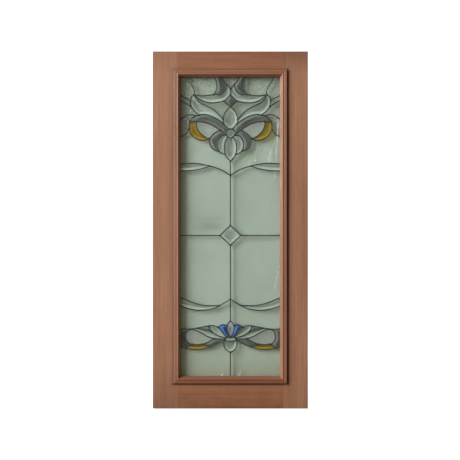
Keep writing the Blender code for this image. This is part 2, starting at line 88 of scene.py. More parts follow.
class Finish:
    def __init__(self, name):
        self.material = bpy.data.materials.new(name)
        self.material.use_nodes = True
        self.tree = self.material.node_tree
        self.tree.nodes.clear()
        self.place = self.node("TexCoord", output="Object")

    def node(self, kind, settings=None, inputs=None, output=0):
        made = self.tree.nodes.new("ShaderNode" + kind)
        for key, value in (settings or {}).items():
            setattr(made, key, value)
        for key, value in (inputs or {}).items():
            if isinstance(value, Value):
                self.tree.links.new(value.socket, made.inputs[key])
            else:
                made.inputs[key].default_value = value
        return Value(self, made.outputs[output])

    def blend(self, share, first, second):  # two colours, the second by that share
        colours = [(*c, 1) if isinstance(c, tuple) else c for c in (first, second)]
        inputs = {"Factor": share, 6: colours[0], 7: colours[1]}
        return self.node("Mix", {"data_type": "RGBA"}, inputs, 2)

    def noise(self, size, start=(0, 0, 0), detail=2, roughness=0.5, turn=(0, 0, 0)):
        scale = [1 / (s * mm) for s in (size if isinstance(size, tuple) else (size,) * 3)]
        turned = self.node("Mapping", None, {"Vector": self.place, "Rotation": turn})
        mapped = self.node("Mapping", None, {"Vector": turned, "Location": start, "Scale": scale})
        inputs = {"Vector": mapped, "Scale": 1, "Detail": detail, "Roughness": roughness}
        return self.node("TexNoise", None, inputs)

    def patches(self, size, start, detail, roughness, ends, turn=(0, 0, 0)):
        return self.noise(size, start, detail, roughness, turn).between(*ends)

    def split(self):  # the place's X, Y and Z
        names = ("X", "Y", "Z")
        return [self.node("SeparateXYZ", None, {"Vector": self.place}, name) for name in names]

    def facing(self, way):  # how far the surface faces a way
        normal = self.node("TexCoord", output="Normal")
        return self.node("VectorMath", {"operation": "DOT_PRODUCT"}, {0: normal, 1: way}, "Value")

    def bump(self, height, distance, strength=1.0):
        inputs = {"Height": height, "Distance": distance * mm, "Strength": strength}
        return self.node("Bump", None, inputs)

    def surface(self, shader):
        output = self.tree.nodes.new("ShaderNodeOutputMaterial")
        self.tree.links.new(shader.socket, output.inputs["Surface"])
        return self.material


print("Finishes")

# Patches in these dictionaries are noise: (size in millimetres, start, detail, roughness, ends)
timberTones = {
    # foot, head, far: how much darker the wood is there, far being towards the lock side
    "hingeStile": {"pale": (0.39, 0.2, 0.117), "red": (0.308, 0.136, 0.073), "start": (3, 1, 7),
                   "foot": 0.4, "head": 0.14},
    "lockStile": {"pale": (0.378, 0.193, 0.112), "red": (0.298, 0.132, 0.073), "start": (9, 4, 2),
                  "foot": 0.1, "head": 0.45},
    "topRail": {"pale": (0.365, 0.167, 0.087), "red": (0.275, 0.108, 0.051), "start": (5, 8, 3),
                "lying": True, "far": 0.14},
    "bottomRail": {"pale": (0.48, 0.225, 0.113), "red": (0.355, 0.14, 0.066), "start": (2, 6, 8),
                   "lying": True, "foot": 0.55},
    "sideMoulding": {"pale": (0.335, 0.165, 0.095), "red": (0.26, 0.11, 0.062), "start": (7, 3, 5),
                     "sheen": True},
    "headMoulding": {"pale": (0.345, 0.162, 0.086), "red": (0.27, 0.108, 0.053), "start": (1, 9, 4),
                     "lying": True, "far": 0.14, "sheen": True},
    "footMoulding": {"pale": (0.27, 0.108, 0.055), "red": (0.2, 0.07, 0.033), "start": (6, 2, 9),
                     "lying": True, "sheen": True},
}
timberGrain = {  # size across, across and along the grain, the noise's detail and roughness, its ends
    "figure": ((50, 50, 900), 3, 0.55, (0.35, 0.65)),
    "streak": ((7, 7, 260), 3, 0.6, (0.3, 0.7)),
    "fibre": ((0.9, 0.9, 45), 2, 0.6, (0.3, 0.7)),
    "pore": ((0.7, 0.7, 7), 1, 0.5, (0.62, 0.72)),
}
timberMarks = {  # how much of a mark shows, and its colour as a share of the tone's pale or red
    "streak": (0.55, "red", 0.62),
    "fibre": (0.32, "pale", 1.3),
    "pore": (0.55, "red", 0.35),
}
timberSurface = {
    "bare": {"roughness": (0.52, 0.68), "gloss": 0.35},
    "sheen": {"roughness": (0.38, 0.5), "gloss": 0.6},
    "fibreHeight": 0.5,
    "relief": 0.12,
}
paintedShadeAndDarkening = {  # depths in millimetres, and how much of the dark colour shows: painted shadow and shade against the moulding, and darker wood at the rim, foot, head and lock side
    # the dark colour, for the painted shadow and shade and for the darker wood
    "paintedShade": (0.05, 0.012, 0.006),
    "corner": (5, 12, 0.8),  # depth of a dark joint against the moulding at the top left, of painted shadow at the bottom right, and share
    "reach": 2,  # in under the moulding
    "edge": 0.5,  # over which a mark fades in
    # painted shade fading out from the moulding: its depth and share
    "around": (26, 0.2),
    "rim": (6, 0.22),  # along the leaf's outline
    "foot": (-990, -720, 0.2),
    "head": (860, 990, 0.08),
    "patches": (90, (0, 0, 0), 3, 0.5, (0.3, 0.7)),
    "uneven": (0.85, 0.3),  # the least share of foot, head and far, and what a patch adds to it
}
leafLow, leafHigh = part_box("hinge_stile")[0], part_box("lock_stile")[1]
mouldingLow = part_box("front_moulding_hinge_side")[0]
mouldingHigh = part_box("front_moulding_lock_side")[1]


def paintedShadeAndDarkeningOn(f, tone):
    x, _, z = f.split()
    right, below = x - mouldingHigh.x, mouldingLow.z - z
    out = (mouldingLow.x - x).most(z - mouldingHigh.z).most(right).most(below)
    edge = paintedShadeAndDarkening["edge"] * mm
    thin, thick, paintedShadowShare = paintedShadeAndDarkening["corner"]
    shaded = right.most(below).between(-edge, 0)
    deep = thin * mm + (thick - thin) * mm * shaded
    # painted shadow: a dark joint against the moulding, widened into the moulding's shadow at the right
    # and bottom
    corner = out.between(-paintedShadeAndDarkening["reach"] * mm, 0) * (1 - out.between(2 * edge, deep))
    depth, aroundShare = paintedShadeAndDarkening["around"]
    # painted shade fading out from the moulding
    around = out.between(-edge, 0) * (1 - out.between(0, depth * mm))
    depth, rimShare = paintedShadeAndDarkening["rim"]
    rim = (x - leafLow.x).least(leafHigh.x - x).least(z - leafLow.z).least(leafHigh.z - z)
    rim = 1 - rim.between(0, depth * mm)
    low, high, footShare = paintedShadeAndDarkening["foot"]
    foot = (1 - z.between(low * mm, high * mm)) * tone.get("foot", footShare)
    low, high, headShare = paintedShadeAndDarkening["head"]
    head = z.between(low * mm, high * mm) * tone.get("head", headShare)
    far = x.between(leafLow.x, leafHigh.x) * tone.get("far", 0)
    least, more = paintedShadeAndDarkening["uneven"]
    return (corner * paintedShadowShare + around * aroundShare + rim * rimShare
            + (foot + head + far) * (least + more * f.patches(*paintedShadeAndDarkening["patches"])))


def timber(name, tone):
    f = Finish(name)
    turn = (0, math.radians(90), 0) if tone.get("lying") else (0, 0, 0)
    marks = {}
    for mark, (size, detail, roughness, ends) in timberGrain.items():
        marks[mark] = f.patches(size, tone["start"], detail, roughness, ends, turn)
    colour = f.blend(marks["figure"], tone["pale"], tone["red"])
    for mark, (share, base, shade) in timberMarks.items():
        colour = f.blend(marks[mark] * share, colour, tuple(shade * c for c in tone[base]))
    # painted shadow and shade along the moulding, and darker wood at the rim, foot, head and lock side
    colour = f.blend(paintedShadeAndDarkeningOn(f, tone), colour, paintedShadeAndDarkening["paintedShade"])
    surface = timberSurface["sheen" if tone.get("sheen") else "bare"]
    low, high = surface["roughness"]
    height = marks["fibre"] * timberSurface["fibreHeight"] - marks["pore"]
    inputs = {"Base Color": colour, "Roughness": low + (high - low) * marks["fibre"],
              "Normal": f.bump(height, timberSurface["relief"]), "Specular IOR Level": surface["gloss"]}
    return f.surface(f.node("BsdfPrincipled", None, inputs))


timbers = {name: timber(name, tone) for name, tone in timberTones.items()}

leadLook = {
    "dull": (0.024, 0.034, 0.031),
    "grey": (0.045, 0.058, 0.054),
    "solder": (0.034, 0.042, 0.039),
    "roughness": {"came": 0.42, "solder": 0.34, "patches": 0.18},
    "patches": (18, (0, 0, 0), 4, 0.6, (0.35, 0.7)),
    "scratches": (2.5, (0, 0, 0), 3, 0.5, (0.4, 0.75)),
    "scratched": (0.35, 1.5),  # how much of the scratches shows, and how much brighter they are
    "metal": 0.2,
    "relief": 0.08,
}


def leadFinish(name, dull, bright, roughness):
    f = Finish(name)
    patches, scratches = f.patches(*leadLook["patches"]), f.patches(*leadLook["scratches"])
    share, shade = leadLook["scratched"]
    colour = f.blend(patches, dull, bright)
    colour = f.blend(scratches * share, colour, tuple(shade * c for c in bright))
    inputs = {"Base Color": colour, "Roughness": roughness + leadLook["roughness"]["patches"] * patches,
              "Metallic": leadLook["metal"], "Normal": f.bump(scratches, leadLook["relief"])}
    return f.surface(f.node("BsdfPrincipled", None, inputs))


lead = leadFinish("leadCame", leadLook["dull"], leadLook["grey"], leadLook["roughness"]["came"])
solder = leadFinish("solder", leadLook["dull"], leadLook["solder"], leadLook["roughness"]["solder"])

glassKinds = {
    # tint: what passes through a sheet. body, haze: its own colour, and the share of it at each face.
    # grain: how much the haze varies from speck to speck.
    # ground edges get painted light and shade: a bright colour where an edge faces the painted light's
    # way, a dark one where it faces away, and how much haze is added there
    "clear": {"tint": (0.92, 0.94, 0.93), "body": (0.42, 0.47, 0.42), "haze": 0.025,
              "slot": "clear_glass"},
    "rippled": {"tint": (0.84, 0.855, 0.83), "body": (0.42, 0.46, 0.43), "haze": 0.115, "grain": 1.8,
                "grainSize": 10.5, "specks": (0.48, 0.66), "slot": "clear_glass"},
    "stippled": {"tint": (0.89, 0.93, 0.92), "body": (0.4, 0.46, 0.42), "haze": 0.25, "grain": 0.8,
                 "slot": "clear_glass"},
    "frosted": {"tint": (0.84, 0.88, 0.85), "body": (0.36, 0.41, 0.36), "haze": 0.25, "grain": 0.8,
                "slot": "clear_glass"},
    "smoky": {"tint": (0.85, 0.88, 0.85), "body": (0.36, 0.39, 0.35), "haze": 0.12,
              "slot": "clear_glass"},
    "bevelled": {"tint": (0.91, 0.94, 0.93), "body": (0.34, 0.39, 0.35), "haze": 0.08,
                 "slot": "bevelled_glass", "paintedFacets": ((0.76, 0.95, 0.85), (0.13, 0.17, 0.14), 0.32),
                 "paintedLightWay": (0.7, 0, -0.7)},
    "grey": {"tint": (0.56, 0.59, 0.585), "body": (0.1, 0.112, 0.112), "haze": 0.12,
             "slot": "grey_glass", "streak": (0.2, 0.22, 0.22),
             "paintedFacets": ((0.34, 0.38, 0.38), (0.08, 0.09, 0.09), 0.25), "paintedLightWay": (-0.95, 0, 0.3)},
    "charcoal": {"tint": (0.48, 0.505, 0.505), "body": (0.09, 0.1, 0.1), "haze": 0.12,
                 "slot": "grey_glass", "streak": (0.17, 0.185, 0.185),
                 "paintedFacets": ((0.3, 0.34, 0.34), (0.06, 0.07, 0.07), 0.25), "paintedLightWay": (-0.95, 0, 0.3)},
    "amber": {"tint": (0.82, 0.64, 0.2), "body": (0.35, 0.26, 0.012), "haze": 0.2,
              "slot": "amber_glass", "streak": (0.42, 0.26, 0.02),
              "paintedFacets": ((0.6, 0.44, 0.06), (0.12, 0.08, 0.005), 0.25), "paintedLightWay": (0.6, 0, -0.8)},
    "blue": {"tint": (0.31, 0.48, 0.78), "body": (0.05, 0.12, 0.38), "haze": 0.3, "slot": "blue_glass",
             "streak": (0.1, 0.2, 0.55), "paintedFacets": ((0.1, 0.28, 0.7), (0.01, 0.02, 0.1), 0.3),
             "paintedLightWay": (-0.95, 0, 0.3)},
    "lavender": {"tint": (0.84, 0.88, 0.94), "body": (0.4, 0.44, 0.55), "haze": 0.15,
                 "slot": "lavender_glass", "paintedFacets": ((0.6, 0.66, 0.6), (0.2, 0.23, 0.4), 0.2),
                 "paintedLightWay": (0.95, 0, -0.3)},
}
glassLook = {
    "ripple": ((30, 30, 60), (0, 0, 0), 2, 0.5, (0.3, 0.7)),
    "wisps": ((9, 9, 40), (4, 2, 6), 4, 0.6, (0.45, 0.75)),
    "wispShade": 1.25,  # how much brighter than the body wisps are, where a kind has no streak
    "grain": ((2, 7, 1), 3, 0.65),
    "grainSize": 7,
    "specks": (0.35, 0.7),  # ends of the grain
    "glintSpeck": ((0.8, 0.85, 0.82), 0.6, 0.4),  # its lighter colour, a painted glint, how much of it shows, its height
    "ground": (0.002, 0.006),  # how far a face leans before it counts as ground
    "turned": (-0.1, 0.1),  # from facing away from the painted light's way to facing it
    "relief": 0.25,
    "roughness": 0.08,
    "gloss": (0.9, 0.92, 0.9, 1),
    "glossRoughness": 0.04,
    "mirror": (0.03, 0.9, 5),  # share of the gloss face on, what is added edge on, and how late
}
paintedHighlightLines = {  # painted highlights on wrinkled film down the glass at the upper right, and three more lower down, in metres
    "lines": [  # place across and up of a highlight's middle, its lean, half its length
        (0.661, 0.445, 0.29, 0.062),
        (0.645, 0.405, 0.1, 0.05),
        (0.69, 0.5, 0.06, 0.15),
        (0.674, 0.33, -0.12, 0.075),
        (0.572, 0.42, 0.16, 0.055),
        (0.538, 0.374, 0.1, 0.024),
        (0.684, -0.275, 0.24, 0.07),
        (0.383, -0.806, 0.6, 0.015),
        (0.48, -0.8, 0.6, 0.016),
    ],
    "width": 0.0028,
    "taper": 0.6,  # of the half length, before a highlight fades
    "breaks": ((6, 20, 16), (8, 3, 5), 3, 0.65, (0.38, 0.58)),
    "colour": (1, 1, 0.99),
    "share": 0.62,
}


def bandOf(along, ends):  # 1 between the middle two ends, 0 beyond the outer two
    return along.between(*ends[:2]) * (1 - along.between(*ends[2:]))


def paintedHighlightsOn(f):  # how much of the painted highlights shows
    x, _, z = f.split()
    shown, width = 0, paintedHighlightLines["width"]
    for across, up, lean, half in paintedHighlightLines["lines"]:
        rise = z - up
        beside = 1 - (x - across - rise * lean).size().between(width / 3, width)
        within = 1 - rise.size().between(half * paintedHighlightLines["taper"], half)
        shown = (beside * within).most(shown)
    return shown * f.patches(*paintedHighlightLines["breaks"])


def glassFinish(name, look):
    f = Finish(name + "Glass")
    brighter = tuple(glassLook["wispShade"] * c for c in look["body"])
    colour = f.blend(f.patches(*glassLook["wisps"]), look["body"], look.get("streak", brighter))
    haze, height = look["haze"], f.patches(*glassLook["ripple"])
    if "grain" in look:
        size, ends = (look.get(key, glassLook[key]) for key in ("grainSize", "specks"))
        grain = f.patches(size, *glassLook["grain"], ends)
        glintSpeck, share, rise = glassLook["glintSpeck"]
        # the specks' lighter colour is a painted glint; their haze and height are the glass's texture
        colour = f.blend(grain * share, colour, glintSpeck)
        haze = haze * (1 - look["grain"] / 2 + look["grain"] * grain)
        height = height + rise * grain
    # painted light and shade on the ground edges, by which way each edge faces
    if "paintedFacets" in look:
        bright, dark, added = look["paintedFacets"]
        slope = (1 - f.facing((0, 1, 0)).size()).between(*glassLook["ground"])
        paintedFacetLight = f.blend(f.facing(look["paintedLightWay"]).between(*glassLook["turned"]), dark, bright)
        colour = f.blend(slope, colour, paintedFacetLight)
        haze = haze + added * slope
    if look["slot"] == "clear_glass":
        # painted highlights on the film's wrinkles, and glints
        paintedHighlight = paintedHighlightsOn(f)
        colour = f.blend(paintedHighlight, colour, paintedHighlightLines["colour"])
        haze = haze + paintedHighlight * paintedHighlightLines["share"]
    normal = f.bump(height, glassLook["relief"])
    tint = (*(c ** 0.5 for c in look["tint"]), 1)  # half at each of a sheet's two faces
    through = f.node("BsdfTransparent", None, {"Color": tint})
    body = f.node("BsdfPrincipled", None,
                  {"Base Color": colour, "Roughness": glassLook["roughness"], "Normal": normal})
    seen = f.node("MixShader", None, {0: haze, 1: through, 2: body})
    gloss = f.node("BsdfGlossy", None, {"Color": glassLook["gloss"],
                                        "Roughness": glassLook["glossRoughness"], "Normal": normal})
    facing = f.node("LayerWeight", None, {"Blend": 0.5}, "Facing")
    least, more, late = glassLook["mirror"]
    return f.surface(f.node("MixShader", None, {0: least + more * facing ** late, 1: seen, 2: gloss}))


glassFinishes = {name: glassFinish(name, look) for name, look in glassKinds.items()}

satinLook = {
    "pale": (0.473, 0.592, 0.515),
    "dull": (0.434, 0.547, 0.47),
    "dusty": (0.37, 0.425, 0.32),  # towards the foot
    "dust": (-820, -640),
    "smudge": (0.34, 0.42, 0.34),  # above the bar on the left
    "across": (0.2, 0.3, 0.35, 0.42),  # its fading ends, in metres
    "up": (-0.03, 0.01, 0.04, 0.1),
    "smudges": ((150, 60, 25), (0, 0, 0), 3, 0.5, (0.2, 0.5)),
    # the colour of the painted shadow from the mouldings
    "paintedShade": (0.12, 0.145, 0.115),
    "shadowUnderHead": (795, 862, 0.32),  # painted shadow under the head moulding: from and to in height, share
    # painted shadow beside the hinge-side moulding: from and to across, share
    "shadowAtHingeSide": (165, 150, 0.2),
    "cloud": ((160, 160, 220), (0, 0, 0), 3, 0.5, (0.35, 0.65)),
    "frost": 1.2,
    "roughness": (0.5, 0.15),
    "relief": 0.03,
    "spread": (0.75, 0.014),  # share of the light that spreads in the glass, and how far
}


def satinFinish():
    f = Finish("satinPane")
    frost = f.noise(satinLook["frost"])
    colour = f.blend(f.patches(*satinLook["cloud"]), satinLook["pale"], satinLook["dull"])
    low, high = satinLook["dust"]
    x, _, z = f.split()
    colour = f.blend(1 - z.between(low * mm, high * mm), colour, satinLook["dusty"])
    smudge = bandOf(x, satinLook["across"]) * bandOf(z, satinLook["up"])
    colour = f.blend(smudge * f.patches(*satinLook["smudges"]), colour, satinLook["smudge"])
    # painted shadow of the head and hinge-side mouldings on the pane
    for along, edge in ((z, "shadowUnderHead"), (x, "shadowAtHingeSide")):
        start, end, share = satinLook[edge]
        colour = f.blend(along.between(start * mm, end * mm) * share, colour, satinLook["paintedShade"])
    smooth, more = satinLook["roughness"]
    share, reach = satinLook["spread"]
    inputs = {"Base Color": colour, "Roughness": smooth + more * frost,
              "Normal": f.bump(frost, satinLook["relief"]), "Subsurface Weight": share,
              "Subsurface Radius": (1, 1, 1), "Subsurface Scale": reach}
    return f.surface(f.node("BsdfPrincipled", {"subsurface_method": "BURLEY"}, inputs))


satin = satinFinish()


# Meshes: each piece is worked out in millimetres and kept with its place in its mesh
def addPiece(name, bm, material, slot, *nodes, smooth=35):
    bmesh.ops.transform(bm, matrix=Matrix.Scale(mm, 4), verts=bm.verts)
    bmesh.ops.recalc_face_normals(bm, faces=bm.faces)
    mesh = bpy.data.meshes.new(name)
    bm.to_mesh(mesh)
    bm.free()
    mesh.shade_smooth()
    mesh.set_sharp_from_angle(angle=math.radians(smooth))
    mesh.materials.append(material)
    piece = bpy.data.objects.new(name, mesh)
    bpy.context.scene.collection.objects.link(piece)
    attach(piece, "root")
    if nodes:
        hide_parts(*nodes)


print("Leaf")
for node, look in (("hinge_stile", "hingeStile"), ("lock_stile", "lockStile"),
                   ("top_rail", "topRail"), ("bottom_rail", "bottomRail")):
    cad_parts[node].material_slots[0].material = timbers[look]
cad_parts["back_pane"].material_slots[0].material = satin

print("Mouldings")
mouldings = {
    # corners as (out from the sight edge, out from the leaf's face, rounding)
    "front": [(0, -5.5, 0.6), (10.8, 11.5, 2), (13, 13, 2), (19.3, 13, 2.5), (21.3, 10, 0.5),
              (22.8, 10, 0.5), (23.4, 11.5, 1), (39, 11.5, 4)],
    "back": [(0, -0.7, 0.5), (12, 10, 0.8), (39, 10, 4)],
    "seat": 0.3,  # clear of the leaf's face
    "width": 39,
    "legWidth": 27.2,
    "legClear": 0.3,  # of the panes it stands against
    "rounding": 8,  # segments in a rounded edge
    "over": 60,  # beyond each end, for the mitres to cut off
    "mitre": 0.2,  # how far past its corner a length is cut
    "found": (0.1, 0.05),  # how far off a long edge may be in length and in place
}


def mouldingLength(name, corners, leg, start, end, outward, proud, material, nodes):
    # a prism of the profile, its long edges rounded, then cut to its mitres
    along = (end - start).normalized()
    length = (end - start).length
    seat, width, inner = mouldings["seat"], mouldings["width"], mouldings["legWidth"]
    over, past = mouldings["over"], mouldings["mitre"]
    longer, beside = mouldings["found"]
    rest = [(width, seat, 0), (inner, seat, 0), (inner, -leg, 0), (0, -leg, 0)]
    profile = corners + rest
    bm = bmesh.new()
    bm.faces.new([bm.verts.new((out, height, -over)) for out, height, _ in profile])
    grown = bmesh.ops.extrude_face_region(bm, geom=bm.faces[:])["geom"]
    ends = [v for v in grown if isinstance(v, bmesh.types.BMVert)]
    bmesh.ops.translate(bm, vec=(0, 0, length + 2 * over), verts=ends)
    for out, height, rounding in profile:
        if rounding:
            edge = [e for e in bm.edges if abs(e.calc_length() - length - 2 * over) < longer
                    and (Vector((out, height)) - e.verts[0].co.xy).length < beside]
            bmesh.ops.bevel(bm, geom=edge, offset=rounding, segments=mouldings["rounding"],
                            profile=0.5, affect="EDGES", material=-1)
    for spot, way in (((0, 0, -past), (-1, 0, -1)), ((0, 0, length + past), (-1, 0, 1))):
        cut = bmesh.ops.bisect_plane(bm, geom=bm.verts[:] + bm.edges[:] + bm.faces[:], dist=1e-5,
                                     plane_co=spot, plane_no=way, clear_outer=True)
        rim = [e for e in cut["geom_cut"] if isinstance(e, bmesh.types.BMEdge)]
        bmesh.ops.contextual_create(bm, geom=rim)
    turn = Matrix((outward, proud, along)).transposed().to_4x4()
    bmesh.ops.transform(bm, matrix=Matrix.Translation(start) @ turn, verts=bm.verts)
    addPiece(name, bm, material, "moulding_timber", *nodes, smooth=30)


def mouldingRing(title, prefix, corners, leg, facing, face):
    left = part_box(prefix + "_hinge_side")[1].x / mm
    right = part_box(prefix + "_lock_side")[0].x / mm
    top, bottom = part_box(prefix + "_top")[0].z / mm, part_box(prefix + "_bottom")[1].z / mm
    corner = ((left, bottom), (left, top), (right, top), (right, bottom))
    spots = [Vector((x, face, z)) for x, z in corner]
    sides = (("hinge_side", (-1, 0, 0), "sideMoulding"), ("top", (0, 0, 1), "headMoulding"),
             ("lock_side", (1, 0, 0), "sideMoulding"), ("bottom", (0, 0, -1), "footMoulding"))
    for n, (side, outward, look) in enumerate(sides):
        mouldingLength(f"{title}_{side}", corners, leg, spots[n], spots[(n + 1) % 4], Vector(outward),
                       Vector((0, facing, 0)), timbers[look], [f"{prefix}_{side}"])


leafFront, leafBack = (corner.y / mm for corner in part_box("hinge_stile"))
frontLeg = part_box("lead_cames")[0].y / mm - leafFront - mouldings["legClear"]
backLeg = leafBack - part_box("back_pane")[1].y / mm - mouldings["legClear"]
mouldingRing("bolection", "front_moulding", mouldings["front"], frontLeg, -1, leafFront)
mouldingRing("glazing_bead", "back_bead", mouldings["back"], backLeg, 1, leafBack)

print("Cartoon")
panelLow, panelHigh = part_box("lead_cames")
centreX = (panelLow.x + panelHigh.x) / 2 / mm
panelHalf = (panelHigh.x - panelLow.x) / 2 / mm
panelTop, panelFoot = panelHigh.z / mm, panelLow.z / mm
cameFront, cameBack = panelLow.y / mm, panelHigh.y / mm
cameMiddle = (cameFront + cameBack) / 2

cames = {"width": 6, "border": 10, "bow": 0.15}
same = 1e-4  # points nearer than this are one
inset = cames["border"] / 2  # leads end on the middle of the border came
side, top, foot = panelHalf - inset, panelTop - inset, panelFoot + inset
starReach, starTop, starFoot, bar = 58, 26, -85, -30
jewelCentre, jewelRadius = (0, 538), 25

# Points where several leads meet, as (from the centre line, above mid height)
spring = (204, 753)
lensTip = (20, 807)
crescentFoot = (92, 753)
arcTop, arcFoot = (0, 784), (0, 752)
diamondSide, diamondFoot = (38, 717), (0, 685)
wingFoot = (41, 616)
bandTip = (227, 603)
amberTip = (115, 509)
petalTip = (65, 439)
flowerFoot = (0, 381)
upperV, upperLeafTip = (0, 303), (115, 356)
lowerV, lowerLeafTip = (0, -385), (59, -420)
budTop, budFoot = (0, -506), (0, -594)
blueTip, blueFoot = (69, -541), (22, -594)
sprayTip, dropTip = (185, -546), (224, -551)
tendrilFoot = (34, -613)
dropInner = (90, -603)
dropFoot = (0, -680)

leads = {  # mirrored, each a smooth line through its points
    "topCurl": [(245, top), (233, 831), (212, 799), (200, 771), spring],
    "lensUpper": [spring, (165, 746), (125, 748), crescentFoot, (60, 752), (38, 766), (25, 786),
                  lensTip],
    "arcUpper": [(68, top), (36, 828), lensTip, arcTop],
    "arcLower": [arcFoot, (14, 737), diamondSide, (86, 708), (120, 708), (160, 720), spring],
    "crescent": [(98, top), (83, 837), (77, 805), (78, 780), crescentFoot],
    "diamondLower": [diamondSide, (20, 702), diamondFoot],
    "wingUpper": [spring, (190, 729), (166, 705), (131, 689), (86, 662), wingFoot],
    "wingOuter": [spring, (219, 736), (224, 709), (214, 679), (194, 655), (173, 639)],
    "sideUpper": [(side, 757), (252, 736), (223, 716)],
    "sideLower": [(side, 733), (252, 706), (221, 687)],
    "sideEyeTop": [(side, 594), (262, 626), (228, 642), (194, 636)],
    "sideEyeFoot": [(231, 559), (243, 540), (262, 525), (side, 513)],
    "bandUpper": [bandTip, (206, 626), (173, 639), (137, 642), (97, 629), (58, 607), (29, 582),
                  (12, 561)],
    "bandLower": [bandTip, (190, 603), (147, 599), (104, 584), (66, 561), (24, 528)],
    "amberOuter": [bandTip, (230, 576), (223, 541), (199, 513), (163, 499), (137, 501), amberTip],
    "amberInner": [(190, 603), (190, 581), (180, 555), (157, 527), (122, 507)],
    "petalOuter": [(57, 555), (86, 540), (105, 523), amberTip, (116, 488), (106, 461), (88, 444),
                   petalTip],
    "petalInner": [(24, 528), (47, 524), (62, 509), (71, 490), (73, 468), petalTip],
    "petalLower": [petalTip, (48, 427), (30, 420)],
    "centrePetal": [(15, 518), (28, 496), (33, 472), (33, 444), (27, 414), flowerFoot],
    "budSide": [diamondFoot, (20, 667), (36, 640), wingFoot, (38, 590)],
    "upperV": [(side, 364), (245, 370), (190, 370), upperLeafTip, (50, 334), upperV],
    "upperLeaf": [(side, 329), (240, 329), (185, 335), (145, 345), upperLeafTip],
    "starUpper": [(0, starTop), (starReach, bar)],
    "starLower": [(starReach, bar), (0, starFoot)],
    "bar": [(starReach, bar), (side, bar)],
    "lowerLeaf": [(side, -367), (240, -392), (185, -411), (130, -420), lowerLeafTip],
    "lowerV": [(side, -413), (243, -434), (190, -445), (140, -445), (95, -436), lowerLeafTip, lowerV],
    "lowerBud": [budTop, (14, -520), (21, -543), (14, -574), budFoot],
    "blueUpper": [(20, -531), (38, -526), (55, -530), blueTip],
    "blueLower": [blueTip, (57, -552), (43, -570), blueFoot],
    "sprayUpper": [blueTip, (98, -531), (140, -536), sprayTip],
    "sprayBar": [sprayTip, dropTip],
    "sideBar": [dropTip, (side, -551)],
    "sprayDivider": [(118, -533), (114, -550), (103, -567)],
    "sprayLower": [sprayTip, (150, -553), (103, -567), (68, -588), (28, -599)],
    "tendril": [dropTip, (190, -558), (158, -574), (128, -591), dropInner, (32, -606)],
    "dropEdge": [dropTip, (241, -563), (250, -588), (243, -617), (221, -634), (185, -637), (150, -633),
                 (118, -620), dropInner],
    "cup": [(side, -645), (240, -658), (190, -664), (140, -658), (90, -641), tendrilFoot],
    "amberEndOuter": [(213, -635), (233, -642), (250, -656)],
    "amberEndInner": [(157, -634), (136, -641), (109, -648)],
    "knotSide": [blueFoot, tendrilFoot],
    "knotTop": [budFoot, blueFoot],
    "knotLower": [tendrilFoot, (15, -616), (0, -618)],
    "pendant": [tendrilFoot, (37, -629), (34, -647), (22, -667), dropFoot],
}
centreLeads = {
    "arcStem": [arcTop, arcFoot],
    "upperStem": [flowerFoot, (0, starTop)],
    "lowerStem": [(0, starFoot), budTop],
    "footStem": [dropFoot, (0, foot)],
}


def bowOf(points):
    span = points[-1] - points[0]
    return max((abs(span.cross(p - points[0])) / span.length for p in points[1:-1]), default=0)


def smoothLine(points, fine=16):
    # a Catmull-Rom curve through the points, with as few points as the bow allows
    points = [Vector(p) for p in points]
    if len(points) == 2:
        return points
    ends = [2 * points[0] - points[1]] + points + [2 * points[-1] - points[-2]]
    dense = []
    for before, start, end, after in zip(ends, ends[1:], ends[2:], ends[3:]):
        for i in range(fine):
            t = i / fine
            dense.append(0.5 * (2 * start + (end - before) * t
                                + (2 * before - 5 * start + 4 * end - after) * t**2
                                + (3 * start - before - 3 * end + after) * t**3))
    dense.append(points[-1])
    kept = [0]
    for n in range(2, len(dense)):
        if bowOf(dense[kept[-1]:n + 1]) > cames["bow"]:
            kept.append(n - 1)
    return [dense[n] for n in kept] + [dense[-1]]


def leadLines():
    lines = []
    for points in leads.values():
        lines += [smoothLine(points), smoothLine([(-u, v) for u, v in points])]
    lines += [smoothLine(points) for points in centreLeads.values()]
    steps = 48
    turns = [2 * math.pi * i / steps for i in range(steps)]
    across, up = jewelCentre
    ring = [Vector((across + jewelRadius * math.cos(a), up + jewelRadius * math.sin(a))) for a in turns]
    return lines, ring + ring[:1]


def stripQuads(line, half):
    closed = line[0] == line[-1]
    pairs = []
    for i, here in enumerate(line):
        before = line[i - 1] if i else (line[-2] if closed else None)
        after = line[i + 1] if i + 1 < len(line) else (line[1] if closed else None)
        ways = [(b - a).normalized() for a, b in ((before, here), (here, after)) if a and b]
        way = sum(ways, Vector((0, 0))).normalized()
        across = Vector((-way.y, way.x)) * half / way.dot(ways[0])
        pairs.append((here + across, here - across))
    return [[a, b, d, c] for (a, b), (c, d) in zip(pairs, pairs[1:])]


def rectangle(left, low, right, high):
    return [Vector(p) for p in ((left, low), (right, low), (right, high), (left, high))]


def withoutNeedless(loop, straight=0.01, short=0.25):
    kept = []
    for i, here in enumerate(loop):
        before, after = kept[-1] if kept else loop[-1], loop[(i + 1) % len(loop)]
        span = after - before
        if (here - before).length < short:
            continue
        if span.length > short and abs(span.cross(here - before)) / span.length < straight:
            continue
        kept.append(here)
    return kept


